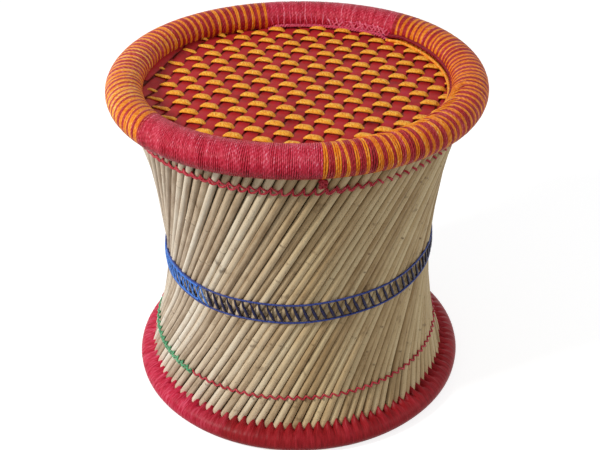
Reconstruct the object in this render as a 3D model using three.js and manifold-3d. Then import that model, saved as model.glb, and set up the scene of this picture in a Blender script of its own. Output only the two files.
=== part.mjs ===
// A mudda stool: a waisted drum of leaning reed stems, made in two layers that cross,
// between a corded rim that holds a woven seat and a wrapped ring that stands on the floor.
// Millimetres, +Z up. The origin is on the floor, on the stool's axis, and the front is -Y.
// Angles are in degrees about +Z from +X, so the front is at 270.

import * as THREE from "three";
import { mergeVertices } from "three/addons/utils/BufferGeometryUtils.js";
import Module from "manifold-3d";

const wasm = await Module();
wasm.setup();

// Overall sizes
const stoolHeight = 400;
const rimRadius = 195; // from the axis to the middle of the rim's section
const baseRingRadius = 192.1; // from the axis to the middle of the base ring's section
const waistDepth = 23.5; // how far the reed wall draws in from its narrower end
const clearance = 0.3; // between pieces that lie on each other
const overrun = 20; // how far a cutting shape passes what it cuts

// Rim: a stuffed core wound with cord, plain crimson at front and back, striped at the sides
const rimHalfWidth = 20.4;
const rimHalfHeight = 17;
const rimCordThickness = 3;
const rimCoreGap = 1.1; // under the cord
const rimFrontFrom = 220;
const rimFrontTo = 279;
const rimBackFrom = 411;
const rimBackTo = 460;
const stripePairPitch = 40; // one orange and one magenta turn together
const stripeGap = 1; // between neighbouring turns
const stepWidthShare = 0.8; // a turn's width where it steps on, under the rim
const orangeTurnShare = 0.25; // where the orange turn lies in its pair
const magentaTurnShare = 0.75; // and the magenta turn
const gapSamples = 4; // points on each stretch of cord, where its gaps are measured

// Reed wall
const reedDiameter = 9.2;
const reedSides = 6;
const reedLayerGap = 0.75; // between the two layers
const reedBiteShare = 0.92; // spacing of the reeds at the waist, as a share of their width there
const reedTopInset = 2.6; // outer face of the reeds at the top, inside the rim's middle
const reedBaseInset = 6.3; // and at the bottom, inside the base ring's middle
const outerBundles = 21;
const innerBundles = 15;

// Seat: flat strips one way over a hoop, wider bands the other way on top of them
const hoopThickness = 8;
const warpPitch = 16.35;
const warpWidth = 11.7;
const warpOffset = 6.6; // from the axis to the nearest strip's middle
const weftPitch = 19.2;
const weftWidth = 16.2;
const weftOffset = -2.6;
const warpThickness = 1.5;
const weftThickness = 1.9;
const seatSkew = -17.9; // direction of the wide bands, from +X
const seatDrop = 25.7; // top of the bands below the top of the rim
const seatInset = 1.9; // ends of the strips inside the rim's inner face
const turnWidth = 8; // where one strip turns into the next
const stripMargin = 2; // least distance of a strip's side from the edge of the seat
const edgeLacingDiameter = 4.8;
const edgeLacingInset = 1.4; // inside the ends of the strips

// Cords round the wall
const bandDrop = 2; // middle of the laced band below the waist
const bandHeight = 24; // between the middles of its two cords
const bandTilt = 2.3; // degrees, higher at +X
const bandCordDiameter = 3;
const lacingDiameter = 1.8;
const stitchDiameter = 2;
const upperStitchDrop = 25.8; // below the rim
const lowerStitchRise = 35.6; // above the base ring
const greenStitchFrom = 195;
const greenStitchTo = 222;

// Base ring: an outer bundle and an inner hoop, with the reed ends between them, in one wrap
const baseHalfWidth = 14;
const baseHalfHeight = 9.8;
const baseFlatDepth = 0.5; // pressed flat where it stands
const baseFlatHalfWidth = 4.3;
const wrapThickness = 2.5;
const wrapRise = 1.5; // of the wrap under the reeds, above the floor
const innerHoopThickness = 7;
const lipFacets = 3; // facets of the outer bundle from its widest place up to the wrap's lip

// Facets
const ringSteps = 36;
const sectionSides = 10;
const cordSides = 5;
const thinCordSides = 4;
const hoopSides = 6;

const degree = Math.PI / 180;
const weldDistance = 1e-3;

// Colours, roughness and metalness of the finishes
const finishes = {
  reed: { color: 0xd6bf9c, roughness: 0.6, metalness: 0 },
  innerReed: { color: 0xbfa67e, roughness: 0.7, metalness: 0 },
  crimson: { color: 0xb81f4a, roughness: 0.45, metalness: 0 },
  orange: { color: 0xf09a2c, roughness: 0.5, metalness: 0 },
  magenta: { color: 0xc43468, roughness: 0.45, metalness: 0 },
  seatRed: { color: 0xb02a34, roughness: 0.6, metalness: 0 },
  blue: { color: 0x3c55a8, roughness: 0.5, metalness: 0 },
  green: { color: 0x4ca873, roughness: 0.5, metalness: 0 },
  straw: { color: 0xa58f62, roughness: 0.9, metalness: 0 },
};

// Solids and meshes

function solidOf(geometry) {
  const bare = new THREE.BufferGeometry();
  bare.setAttribute("position", geometry.getAttribute("position"));
  bare.setIndex(geometry.index);
  const merged = mergeVertices(bare, weldDistance);
  return new wasm.Manifold(
    new wasm.Mesh({
      numProp: 3,
      vertProperties: new Float32Array(merged.getAttribute("position").array),
      triVerts: new Uint32Array(merged.index.array),
    }),
  );
}

function geometryOf(solid) {
  const mesh = solid.getMesh();
  const geometry = new THREE.BufferGeometry();
  geometry.setAttribute("position", new THREE.BufferAttribute(mesh.vertProperties, 3));
  geometry.setIndex(new THREE.BufferAttribute(mesh.triVerts, 1));
  geometry.computeVertexNormals();
  return geometry;
}

const stool = new THREE.Group();

// Each part of the stool is a group at its own height.
function addGroup(height) {
  const group = new THREE.Group();
  group.position.z = height;
  stool.add(group);
  return group;
}

function addPiece(group, name, geometry, finish) {
  const mesh = new THREE.Mesh(geometry, new THREE.MeshStandardMaterial(finishes[finish]));
  mesh.name = name;
  group.add(mesh);
  return mesh;
}

// Sections and rings

function onEllipse(middle, halfWidth, halfHeight, turn) {
  return new THREE.Vector2(
    middle.x + halfWidth * Math.cos(turn * degree),
    middle.y + halfHeight * Math.sin(turn * degree),
  );
}

function ellipse(middle, halfWidth, halfHeight, sides, firstTurn = 0) {
  const points = [];
  for (let i = 0; i < sides; i++) {
    const turn = firstTurn + (360 * i) / sides;
    points.push(onEllipse(middle, halfWidth, halfHeight, turn));
  }
  return points;
}

// Part of an ellipse, in facets like those of a whole one with so many sides.
function arc(middle, halfWidth, halfHeight, sides, from, to) {
  const steps = Math.round((Math.abs(to - from) * sides) / 360);
  const points = [];
  for (let i = 0; i <= steps; i++) {
    points.push(onEllipse(middle, halfWidth, halfHeight, from + ((to - from) * i) / steps));
  }
  return points;
}

// A closed outline in radius and height, given anticlockwise, turned about the axis.
function ringGeometry(outline) {
  const profile = [...outline, outline[0]];
  return new THREE.LatheGeometry(profile, ringSteps).rotateX(Math.PI / 2);
}

// Radius of a ring's corners whose flats still lie outside the given radius.
function around(radius) {
  return radius / Math.cos(Math.PI / ringSteps);
}

// A cord that lies round something of the given radius.
function roundCord(radius, height, diameter, sides) {
  const middle = new THREE.Vector2(around(radius) + diameter / 2, height);
  return ringGeometry(ellipse(middle, diameter / 2, diameter / 2, sides));
}

const cutReach = rimRadius + rimHalfWidth + overrun;

// A slice of a disc between two angles, wide and tall enough to cut any ring.
function wedge(from, to) {
  const steps = Math.ceil(((to - from) * ringSteps) / 360);
  const shape = new THREE.Shape([new THREE.Vector2(0, 0)]);
  for (let i = 0; i <= steps; i++) {
    const angle = (from + ((to - from) * i) / steps) * degree;
    shape.lineTo(cutReach * Math.cos(angle), cutReach * Math.sin(angle));
  }
  const depth = stoolHeight;
  const geometry = new THREE.ExtrudeGeometry(shape, { depth, bevelEnabled: false });
  return solidOf(geometry.translate(0, 0, -depth / 2));
}

// A tube through rings of points; its ends are closed unless it runs into itself.
function loft(rings, endless) {
  const sides = rings[0].length;
  const positions = rings.flat().flatMap((p) => [p.x, p.y, p.z]);
  const index = [];
  const spans = endless ? rings.length : rings.length - 1;
  for (let i = 0; i < spans; i++) {
    const here = i * sides;
    const next = ((i + 1) % rings.length) * sides;
    for (let j = 0; j < sides; j++) {
      const k = (j + 1) % sides;
      index.push(here + j, here + k, next + k);
      index.push(here + j, next + k, next + j);
    }
  }
  if (!endless) {
    const last = (rings.length - 1) * sides;
    for (let j = 1; j < sides - 1; j++) {
      index.push(0, j + 1, j);
      index.push(last, last + j, last + j + 1);
    }
  }
  const geometry = new THREE.BufferGeometry();
  geometry.setAttribute("position", new THREE.Float32BufferAttribute(positions, 3));
  geometry.setIndex(index);
  geometry.computeVertexNormals();
  return geometry;
}

function polar(radius, angle, height) {
  return new THREE.Vector3(
    radius * Math.cos(angle * degree),
    radius * Math.sin(angle * degree),
    height,
  );
}

// Reed wall: every reed is straight, so each layer is a ruled waisted drum

const rimUnderside = stoolHeight - 2 * rimHalfHeight;
const reedTop = rimUnderside - clearance;
const reedBottom = wrapRise + wrapThickness + clearance;
const wallTopRadius = rimRadius - reedTopInset;
const wallBaseRadius = baseRingRadius - reedBaseInset;
const waistRadius = Math.min(wallTopRadius, wallBaseRadius) - waistDepth;

function makeLayer(inset, lean, bundles) {
  const middle = waistRadius - inset - reedDiameter / 2;
  const top = wallTopRadius - inset - reedDiameter / 2;
  const base = wallBaseRadius - inset - reedDiameter / 2;
  const travelUp = Math.sqrt(top * top - middle * middle);
  const travelDown = Math.sqrt(base * base - middle * middle);
  const slope = (travelUp + travelDown) / (reedTop - reedBottom);
  const waistHeight = reedBottom + travelDown / slope;
  const halfWidth = (reedDiameter / 2) * Math.sqrt(1 + slope * slope);
  const widestSpacing = 2 * halfWidth * reedBiteShare;
  const perBundle = Math.ceil((2 * Math.PI * middle) / (bundles * widestSpacing));
  const count = bundles * perBundle;
  return { middle, slope, lean, waistHeight, halfWidth, bundles, perBundle, count };
}

const outerLayer = makeLayer(0, 1, outerBundles);
const innerLayer = makeLayer(reedDiameter + reedLayerGap, -1, innerBundles);

// A reed's level section, with x away from the axis and y along the lean.
function reedOutline(layer) {
  const centre = new THREE.Vector2(0, 0);
  const round = ellipse(centre, layer.halfWidth, reedDiameter / 2, reedSides);
  return round.map((p) => new THREE.Vector2(-p.y, p.x));
}

// The section cut off where sign * y passes the limit.
function trimmed(points, sign, limit) {
  const kept = [];
  points.forEach((p, i) => {
    const q = points[(i + 1) % points.length];
    if (sign * p.y <= limit) kept.push(p);
    if (sign * p.y <= limit !== sign * q.y <= limit) {
      kept.push(p.clone().lerp(q, (sign * limit - p.y) / (q.y - p.y)));
    }
  });
  return kept;
}

// Reeds in a bundle bite into each other at the waist; bundles keep the clearance.
function bundleGeometry(layer) {
  const spacing = (2 * Math.PI) / layer.count;
  const halfRoom = (layer.middle * spacing - clearance) / 2;
  const depth = reedTop - reedBottom;
  const slant = layer.lean * layer.slope;
  let bundle = null;
  for (let i = 0; i < layer.perBundle; i++) {
    let outline = reedOutline(layer);
    if (i === 0) outline = trimmed(outline, -1, halfRoom);
    if (i === layer.perBundle - 1) outline = trimmed(outline, 1, halfRoom);
    const shape = new THREE.Shape(outline);
    const reed = new THREE.ExtrudeGeometry(shape, { depth, bevelEnabled: false });
    reed.translate(layer.middle, 0, reedBottom - layer.waistHeight);
    reed.applyMatrix4(new THREE.Matrix4().makeShear(0, 0, 0, 0, 0, slant));
    reed.rotateZ(i * spacing);
    const solid = solidOf(reed);
    bundle = bundle ? bundle.add(solid) : solid;
  }
  return geometryOf(bundle);
}

// Least and greatest distance of a layer's reeds from the axis at a height.
function layerReach(layer, height) {
  const travel = layer.slope * (height - layer.waistHeight);
  const outline = reedOutline(layer);
  const distances = [];
  outline.forEach((p, i) => {
    const q = outline[(i + 1) % outline.length];
    const across = p.clone().add(q).divideScalar(2);
    distances.push(Math.hypot(layer.middle + p.x, travel + p.y));
    distances.push(Math.hypot(layer.middle + across.x, travel + across.y));
  });
  return { outer: Math.max(...distances), inner: Math.min(...distances) };
}

const wallOuter = (height) => layerReach(outerLayer, height).outer;
const wallInner = (height) => layerReach(innerLayer, height).inner;

function addReeds(prefix, layer, finish) {
  const group = addGroup(layer.waistHeight);
  const geometry = bundleGeometry(layer);
  for (let i = 0; i < layer.bundles; i++) {
    const bundle = addPiece(group, prefix + String(i + 1).padStart(2, "0"), geometry, finish);
    bundle.rotation.z = (2 * Math.PI * i) / layer.bundles;
  }
}

addReeds("outer_reeds_", outerLayer, "reed");
addReeds("inner_reeds_", innerLayer, "innerReed");

// Rim

const rimHeight = stoolHeight - rimHalfHeight;
const rimInnerFace = rimRadius - rimHalfWidth;
const rimMiddle = new THREE.Vector2(rimRadius, 0);
const rim = addGroup(rimHeight);

function rimSection(inset) {
  return ellipse(rimMiddle, rimHalfWidth - inset, rimHalfHeight - inset, sectionSides, 270);
}

addPiece(rim, "rim_core", ringGeometry(rimSection(rimCordThickness + rimCoreGap)), "straw");

const rimOutside = solidOf(ringGeometry(rimSection(0)));
const rimSleeve = rimOutside.subtract(solidOf(ringGeometry(rimSection(rimCordThickness))));

function addRimWrap(name, from, to) {
  addPiece(rim, name, geometryOf(rimSleeve.intersect(wedge(from, to))), "crimson");
}

addRimWrap("rim_wrap_front", rimFrontFrom, rimFrontTo);
addRimWrap("rim_wrap_back", rimBackFrom, rimBackTo);

// A flat cord's section on the rim, square to its winding.
function windingSection(angle, halfTurn, turn) {
  const bedWidth = rimHalfWidth - rimCordThickness;
  const bedHeight = rimHalfHeight - rimCordThickness;
  const inner = onEllipse(rimMiddle, bedWidth, bedHeight, turn);
  const outer = onEllipse(rimMiddle, rimHalfWidth, rimHalfHeight, turn);
  return [
    polar(inner.x, angle - halfTurn, inner.y),
    polar(outer.x, angle - halfTurn, outer.y),
    polar(outer.x, angle + halfTurn, outer.y),
    polar(inner.x, angle + halfTurn, inner.y),
  ];
}

// One cord wound round the rim: each loop goes straight over the rim and steps on to the
// next place under it, within the two lowest facets.
function windingRings(from, to, loops, turnShare) {
  const pitch = (to - from) / loops;
  const gap = stripeGap / rimInnerFace / degree;
  const halfTurn = (pitch / 2 - gap) / 2;
  const rings = [];
  for (let loop = 0; loop < loops; loop++) {
    const angle = from + pitch * (loop + turnShare);
    for (let step = 1; step <= sectionSides; step++) {
      const turn = 270 + (360 * step) / sectionSides;
      const stepsOn = step === sectionSides;
      if (stepsOn && loop === loops - 1) break;
      const place = stepsOn ? angle + pitch / 2 : angle;
      const reach = stepsOn ? halfTurn * stepWidthShare : halfTurn;
      rings.push({ loop, ring: windingSection(place, reach, turn) });
    }
  }
  return rings;
}

// Points along the edges of a winding, each with the number of its loop.
function edgePoints(rings) {
  const points = [];
  rings.slice(1).forEach(({ ring: next }, i) => {
    const { loop, ring } = rings[i];
    for (let k = 0; k < gapSamples; k++) {
      ring.forEach((p, j) => {
        points.push({ loop, point: p.clone().lerp(next[j], k / gapSamples) });
      });
    }
  });
  return points;
}

// Neighbouring loops of one cord meet where it steps on under the rim.
function isJoined(a, b) {
  const low = -rimHalfHeight / 2;
  return Math.abs(a.loop - b.loop) === 1 && a.point.z < low && b.point.z < low;
}

function leastGap(ringsA, ringsB) {
  const pointsB = edgePoints(ringsB);
  let least = Infinity;
  for (const a of edgePoints(ringsA)) {
    for (const b of pointsB) {
      if (ringsA === ringsB && (a.loop === b.loop || isJoined(a, b))) continue;
      least = Math.min(least, a.point.distanceTo(b.point));
    }
  }
  return least.toFixed(2);
}

function addWindings(side, from, to) {
  const loops = Math.round((rimRadius * (to - from) * degree) / stripePairPitch);
  const orange = windingRings(from, to, loops, orangeTurnShare);
  const magenta = windingRings(from, to, loops, magentaTurnShare);
  const solid = (rings) => loft(rings.map(({ ring }) => ring), false);
  addPiece(rim, `rim_cord_${side}_orange`, solid(orange), "orange");
  addPiece(rim, `rim_cord_${side}_magenta`, solid(magenta), "magenta");
  const toItself = leastGap(orange, orange);
  const toOther = leastGap(orange, magenta);
  console.log(`${side}: ${loops} loops, ${toItself} mm to itself, ${toOther} mm to the other`);
}

addWindings("right", rimFrontTo, rimBackFrom);
addWindings("left", rimBackTo, rimFrontFrom + 360);

// Radius of the rim's inner face at a height above the floor.
function rimInnerRadius(height) {
  const rise = (height - rimHeight) / rimHalfHeight;
  return rimRadius - rimHalfWidth * Math.sqrt(1 - rise * rise);
}

// Seat, in heights above the top of its bands

const seatTop = stoolHeight - seatDrop;
const seatRadius = rimInnerRadius(seatTop) - seatInset;
const weftBottom = -weftThickness;
const warpBottom = weftBottom - clearance - warpThickness;
const hoopHeight = warpBottom - clearance - hoopThickness / 2;
const seat = addGroup(seatTop);

const hoopRadius = wallInner(seatTop + hoopHeight) - clearance - hoopThickness / 2;
const hoopMiddle = new THREE.Vector2(hoopRadius, hoopHeight);
const hoopSection = ellipse(hoopMiddle, hoopThickness / 2, hoopThickness / 2, hoopSides);
addPiece(seat, "seat_hoop", ringGeometry(hoopSection), "straw");

// Middles and half lengths of a strip's stretches across the seat.
function stripStretches(pitch, width, offset) {
  const farthest = seatRadius - width / 2 - stripMargin;
  const first = Math.ceil((-farthest - offset) / pitch);
  const last = Math.floor((farthest - offset) / pitch);
  const stretches = [];
  for (let i = first; i <= last; i++) {
    const across = offset + i * pitch;
    const edge = Math.abs(across) + width / 2;
    stretches.push({ across, half: Math.sqrt(seatRadius * seatRadius - edge * edge) });
  }
  return stretches;
}

// One long strip that crosses the seat again and again, turning round the hoop at each end:
// its outline runs up one side of every stretch and back down the other.
function stripOutline(pitch, width, offset) {
  const stretches = stripStretches(pitch, width, offset);
  const innerCorner = (a, b) => Math.min(a.half, b.half) - turnWidth;
  const oneSide = [];
  const otherSide = [];
  stretches.forEach((stretch, i) => {
    const before = stretches[i - 1];
    const after = stretches[i + 1];
    const start = before ? innerCorner(before, stretch) : stretch.half;
    const end = after ? innerCorner(stretch, after) : stretch.half;
    const goesUp = i % 2 === 0;
    const side = goesUp ? width / 2 : -width / 2;
    const near = stretch.across - side;
    const far = stretch.across + side;
    oneSide.push(new THREE.Vector2(near, goesUp ? -start : stretch.half));
    oneSide.push(new THREE.Vector2(near, goesUp ? stretch.half : -end));
    otherSide.push(new THREE.Vector2(far, goesUp ? -stretch.half : start));
    otherSide.push(new THREE.Vector2(far, goesUp ? end : -stretch.half));
  });
  return [...oneSide, ...otherSide.reverse()];
}

// A strip's stretches run along its own y.
function addStrip(name, outline, thickness, bottom, turn, finish) {
  const shape = new THREE.Shape(outline);
  const geometry = new THREE.ExtrudeGeometry(shape, { depth: thickness, bevelEnabled: false });
  const strip = addPiece(seat, name, geometry, finish);
  strip.rotation.z = turn * degree;
  strip.position.z = bottom;
}

const warpOutline = stripOutline(warpPitch, warpWidth, warpOffset);
const weftOutline = stripOutline(weftPitch, weftWidth, weftOffset);
addStrip("seat_warp", warpOutline, warpThickness, warpBottom, seatSkew, "seatRed");
addStrip("seat_weft", weftOutline, weftThickness, weftBottom, seatSkew + 90, "orange");

const edgeMiddle = new THREE.Vector2(
  seatRadius - edgeLacingInset - edgeLacingDiameter / 2,
  clearance + edgeLacingDiameter / 2,
);
const edgeSection = ellipse(edgeMiddle, edgeLacingDiameter / 2, edgeLacingDiameter / 2, cordSides);
addPiece(seat, "seat_edge_lacing", ringGeometry(edgeSection), "magenta");

// Base ring

const base = addGroup(0);
const baseMiddle = new THREE.Vector2(baseRingRadius, baseHalfHeight - baseFlatDepth);
const baseRingTop = baseMiddle.y + baseHalfHeight;
const wrapFloor = wrapRise + wrapThickness;
const innerHoopHeight = wrapFloor + clearance + innerHoopThickness / 2;
const innerHoopRadius = wallInner(innerHoopHeight) - clearance - innerHoopThickness / 2;
const innerHoopMiddle = new THREE.Vector2(innerHoopRadius, innerHoopHeight);
const hoopPocket = innerHoopThickness / 2 + clearance;
const hoopCover = hoopPocket + wrapThickness;

// Radius just outside the reeds at a height; the wall narrows upwards here, so the place
// below it counts.
function besideReeds(height) {
  return around(wallOuter(height - wrapThickness) + clearance);
}

// The bundle outside the reeds is an oval with its inner side pressed against them.
const coreInset = wrapThickness + clearance;
const coreOval = ellipse(
  baseMiddle, baseHalfWidth - coreInset, baseHalfHeight - coreInset, sectionSides,
);
const coreSection = coreOval.map((p) => {
  return new THREE.Vector2(Math.max(p.x, besideReeds(p.y)), p.y);
});
addPiece(base, "base_core", ringGeometry(coreSection), "straw");

const innerHoopSection = ellipse(
  innerHoopMiddle, innerHoopThickness / 2, innerHoopThickness / 2, hoopSides, 90,
);
addPiece(base, "base_inner_hoop", ringGeometry(innerHoopSection), "straw");

// The wrap starts on the bundle beside the reeds, goes round the bundle, under the reed ends
// and round the inner hoop, and ends beside the reeds again.
function wrapOutline() {
  const facet = 360 / sectionSides;
  const lipTurn = lipFacets * facet;
  const liningWidth = baseHalfWidth - wrapThickness;
  const liningHeight = baseHalfHeight - wrapThickness;
  const lipTop = baseRingTop - clearance - wrapThickness / 2;
  const lipUnder = lipTop - wrapThickness;
  const innerLipTop = innerHoopMiddle.y + hoopCover;
  const innerLip = wallInner(innerLipTop) - clearance;
  return [
    new THREE.Vector2(besideReeds(lipTop), lipTop),
    ...arc(baseMiddle, baseHalfWidth, baseHalfHeight, sectionSides, lipTurn, facet - 90),
    new THREE.Vector2(baseRingRadius + baseFlatHalfWidth, 0),
    new THREE.Vector2(baseRingRadius - baseFlatHalfWidth, 0),
    new THREE.Vector2(wallBaseRadius - reedDiameter, wrapRise),
    ...arc(innerHoopMiddle, hoopCover, hoopCover, hoopSides, 270, 90),
    new THREE.Vector2(innerLip, innerLipTop),
    new THREE.Vector2(innerLip, innerLipTop - wrapThickness),
    ...arc(innerHoopMiddle, hoopPocket, hoopPocket, hoopSides, 90, 270),
    new THREE.Vector2(wallBaseRadius, wrapFloor),
    ...arc(baseMiddle, liningWidth, liningHeight, sectionSides, -lipTurn, lipTurn),
    new THREE.Vector2(besideReeds(lipUnder), lipUnder),
  ].reverse();
}

addPiece(base, "base_wrap", ringGeometry(wrapOutline()), "crimson");

// Laced band at the waist, tilted a little, in heights above its middle

const bandMiddle = outerLayer.waistHeight - bandDrop;
const bandSlope = Math.tan(bandTilt * degree);
const band = addGroup(bandMiddle);

// Greatest radius of the wall anywhere that the tilted band lies.
const bandReach = (bandCordDiameter + bandHeight) / 2 + waistRadius * bandSlope;
const bandWall = Math.max(wallOuter(bandMiddle + bandReach), wallOuter(bandMiddle - bandReach));
const bandSeat = bandWall + clearance;

// The band keeps its radius and climbs towards +X.
function tilted(geometry) {
  return geometry.applyMatrix4(new THREE.Matrix4().makeShear(0, bandSlope, 0, 0, 0, 0));
}

function addBandCord(name, height) {
  const cord = roundCord(bandSeat, height, bandCordDiameter, cordSides);
  addPiece(band, name, tilted(cord), "blue");
}

addBandCord("waist_cord_upper", bandHeight / 2);
addBandCord("waist_cord_lower", -bandHeight / 2);

// The lacing runs down and up between the two cords, once for each reed.
function lacingGeometry() {
  const turns = outerLayer.count;
  const stroke = (Math.PI * bandSeat) / turns;
  const room = bandHeight - bandCordDiameter - 2 * clearance;
  const halfThick = lacingDiameter / 2;
  const halfTall = (halfThick * Math.hypot(stroke, room)) / stroke;
  const swing = room / 2 - halfTall;
  const radius = bandSeat + halfThick;
  const rings = [];
  for (let i = 0; i < 2 * turns; i++) {
    const angle = (180 * i) / turns;
    const height = i % 2 === 0 ? swing : -swing;
    rings.push([
      polar(radius + halfThick, angle, height),
      polar(radius, angle, height - halfTall),
      polar(radius - halfThick, angle, height),
      polar(radius, angle, height + halfTall),
    ]);
  }
  return loft(rings, true);
}

addPiece(band, "waist_lacing", tilted(lacingGeometry()), "blue");

const innerCordRadius = wallInner(bandMiddle) - clearance - bandCordDiameter / 2;
const innerCordMiddle = new THREE.Vector2(innerCordRadius, 0);
const innerCordSection = ellipse(
  innerCordMiddle, bandCordDiameter / 2, bandCordDiameter / 2, thinCordSides,
);
addPiece(band, "waist_inner_cord", ringGeometry(innerCordSection), "blue");

// Stitch lines round the wall

function stitchRing(height) {
  const reach = stitchDiameter / 2;
  const wall = Math.max(wallOuter(height - reach), wallOuter(height + reach));
  return roundCord(wall + clearance, 0, stitchDiameter, thinCordSides);
}

const upperStitchHeight = rimUnderside - upperStitchDrop;
const upperStitch = addGroup(upperStitchHeight);
addPiece(upperStitch, "stitch_upper", stitchRing(upperStitchHeight), "crimson");

const lowerStitchHeight = baseRingTop + lowerStitchRise;
const lowerStitch = addGroup(lowerStitchHeight);
const lowerRing = solidOf(stitchRing(lowerStitchHeight));
const endGap = clearance / waistRadius / degree;
const redPart = lowerRing.subtract(wedge(greenStitchFrom - endGap, greenStitchTo + endGap));
const greenPart = lowerRing.intersect(wedge(greenStitchFrom, greenStitchTo));
addPiece(lowerStitch, "stitch_lower_red", geometryOf(redPart), "crimson");
addPiece(lowerStitch, "stitch_lower_green", geometryOf(greenPart), "green");

console.log(`${outerLayer.count} outer and ${innerLayer.count} inner reeds`);

export default stool;
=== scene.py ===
"""Looks of the mudda stool: a waisted wall of reeds, a cord-bound rim and base ring, and a woven seat."""

import math
import random

import bpy
from mathutils import Matrix, Vector


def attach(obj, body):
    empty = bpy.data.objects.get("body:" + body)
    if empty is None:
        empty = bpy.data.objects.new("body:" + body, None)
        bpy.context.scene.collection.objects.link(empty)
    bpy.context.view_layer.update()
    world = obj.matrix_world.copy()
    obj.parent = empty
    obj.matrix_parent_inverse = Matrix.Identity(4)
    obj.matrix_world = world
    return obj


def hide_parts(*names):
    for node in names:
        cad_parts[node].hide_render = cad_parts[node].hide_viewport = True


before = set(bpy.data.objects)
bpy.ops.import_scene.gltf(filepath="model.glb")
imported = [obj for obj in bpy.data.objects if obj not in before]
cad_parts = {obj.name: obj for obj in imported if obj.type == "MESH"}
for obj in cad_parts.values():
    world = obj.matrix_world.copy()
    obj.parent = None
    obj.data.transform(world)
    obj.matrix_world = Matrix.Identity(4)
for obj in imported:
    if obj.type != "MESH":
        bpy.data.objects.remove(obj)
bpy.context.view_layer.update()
random.seed(7)

# Sizes, in metres and radians
FULL_TURN = 2 * math.pi
RIM_RADIUS = 0.195
RIM_HEIGHT = 0.383
RIM_HALF_WIDTH = 0.0194
RIM_HALF_HEIGHT = 0.016
RIM_TURN_STEPS = 30
FINE_CORD_PITCH = 0.0018
FINE_CORD_DIAMETER = 0.0022
CORD_DIAMETER = 0.0023
STRIPE_PITCH = 0.0098
FRONT_FROM = math.radians(220)
FRONT_TO = math.radians(276.8)
BACK_FROM = math.radians(409.5)
BACK_TO = math.radians(461.8)

REED_COUNT = 105
REED_WAIST = 0.173
REED_LOW = 0.009
REED_HIGH = 0.3676
OUTER_MIDDLE = 0.1577
OUTER_SLOPE = 0.5291
INNER_MIDDLE = 0.14775
INNER_SLOPE = 0.5135
REED_RADIUS = 0.0046
REED_BULGE = 0.0019

WRAP_COLUMNS_PER_GAP = 10

WARP_PITCH = 0.01635
WARP_START = 0.0066
WARP_WIDTH = 0.0168
WEFT_PITCH = 0.0192
WEFT_START = -0.0026
SEAT_REACH = 0.1785
SEAT_HEIGHT = 0.3722
SEAT_ACROSS = Vector((0.9516, -0.3074, 0)).normalized()
SEAT_ALONG = Vector((0.3074, 0.9516, 0)).normalized()
PLAIT_PITCH = 0.007

BAND_UPPER = 0.1848
BAND_LOWER = 0.1608
BAND_MIDDLE = 0.171
BAND_TILT = 0.0066
INNER_CORD_RADIUS = 0.1416
BRIGHT_FROM = math.radians(150)
BRIGHT_TO = math.radians(228)
UPPER_STITCH = 0.3434
LOWER_STITCH = 0.0588
GREEN_FROM = math.radians(172)
GREEN_TO = math.radians(223)
STITCH_DIAMETER = 0.0024
KNOT_ANGLE = math.radians(277.6)
KNOT_HEIGHT = 0.3555


def shade(red, green, blue):
    """A colour written in screen values, as the shaders take it."""
    parts = []
    for value in (red, green, blue):
        value /= 255
        parts.append(value / 12.92 if value <= 0.04045 else ((value + 0.055) / 1.055) ** 2.4)
    return (*parts, 1)


# Finishes


def new_finish(name, roughness, specular):
    finish = bpy.data.materials.new(name)
    finish.use_nodes = True
    shader = finish.node_tree.nodes["Principled BSDF"]
    shader.inputs["Roughness"].default_value = roughness
    shader.inputs["Specular IOR Level"].default_value = specular
    return finish, finish.node_tree, shader


def feed(tree, value, entry):
    """Links another node's socket to an entry, or sets the entry to a plain value."""
    if isinstance(value, bpy.types.NodeSocket):
        tree.links.new(value, entry)
    else:
        entry.default_value = value


def add_node(tree, kind, *inputs, **settings):
    """A node whose inputs are fed in order."""
    node = tree.nodes.new(kind)
    for key, value in settings.items():
        setattr(node, key, value)
    for index, value in enumerate(inputs):
        feed(tree, value, node.inputs[index])
    return node


def calculate(tree, operation, *inputs):
    return add_node(tree, "ShaderNodeMath", *inputs, operation=operation).outputs[0]


def add_noise(tree, vector, scale, detail, roughness):
    node = add_node(tree, "ShaderNodeTexNoise", vector)
    node.inputs["Scale"].default_value = scale
    node.inputs["Detail"].default_value = detail
    node.inputs["Roughness"].default_value = roughness
    return node.outputs["Fac"]


def add_ramp(tree, value, stops):
    """A colour ramp through stops, each a place and a colour in screen values."""
    node = add_node(tree, "ShaderNodeValToRGB", value)
    ramp = node.color_ramp
    while len(ramp.elements) < len(stops):
        ramp.elements.new(0.5)
    for element, (place, *colour) in zip(ramp.elements, stops):
        element.position = place
        element.color = shade(*colour)
    return node.outputs["Color"]


def add_mix(tree, factor, first, second):
    """The first colour where the factor is 0, and the second where it is 1."""
    node = add_node(tree, "ShaderNodeMix", data_type="RGBA")
    feed(tree, factor, node.inputs["Factor"])
    feed(tree, first, node.inputs["A"])
    feed(tree, second, node.inputs["B"])
    return node.outputs["Result"]


def add_bump(tree, shader, height, distance):
    node = tree.nodes.new("ShaderNodeBump")
    node.inputs["Strength"].default_value = 1.0
    node.inputs["Distance"].default_value = distance
    tree.links.new(height, node.inputs["Height"])
    tree.links.new(node.outputs["Normal"], shader.inputs["Normal"])


def stretched(tree, *parts):
    """A place to read noise at, each coordinate from a (socket, scale) pair."""
    scaled = [calculate(tree, "MULTIPLY", socket, scale) for socket, scale in parts]
    return add_node(tree, "ShaderNodeCombineXYZ", *scaled).outputs[0]


def object_place(tree):
    return add_node(tree, "ShaderNodeTexCoord").outputs["Object"]


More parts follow.
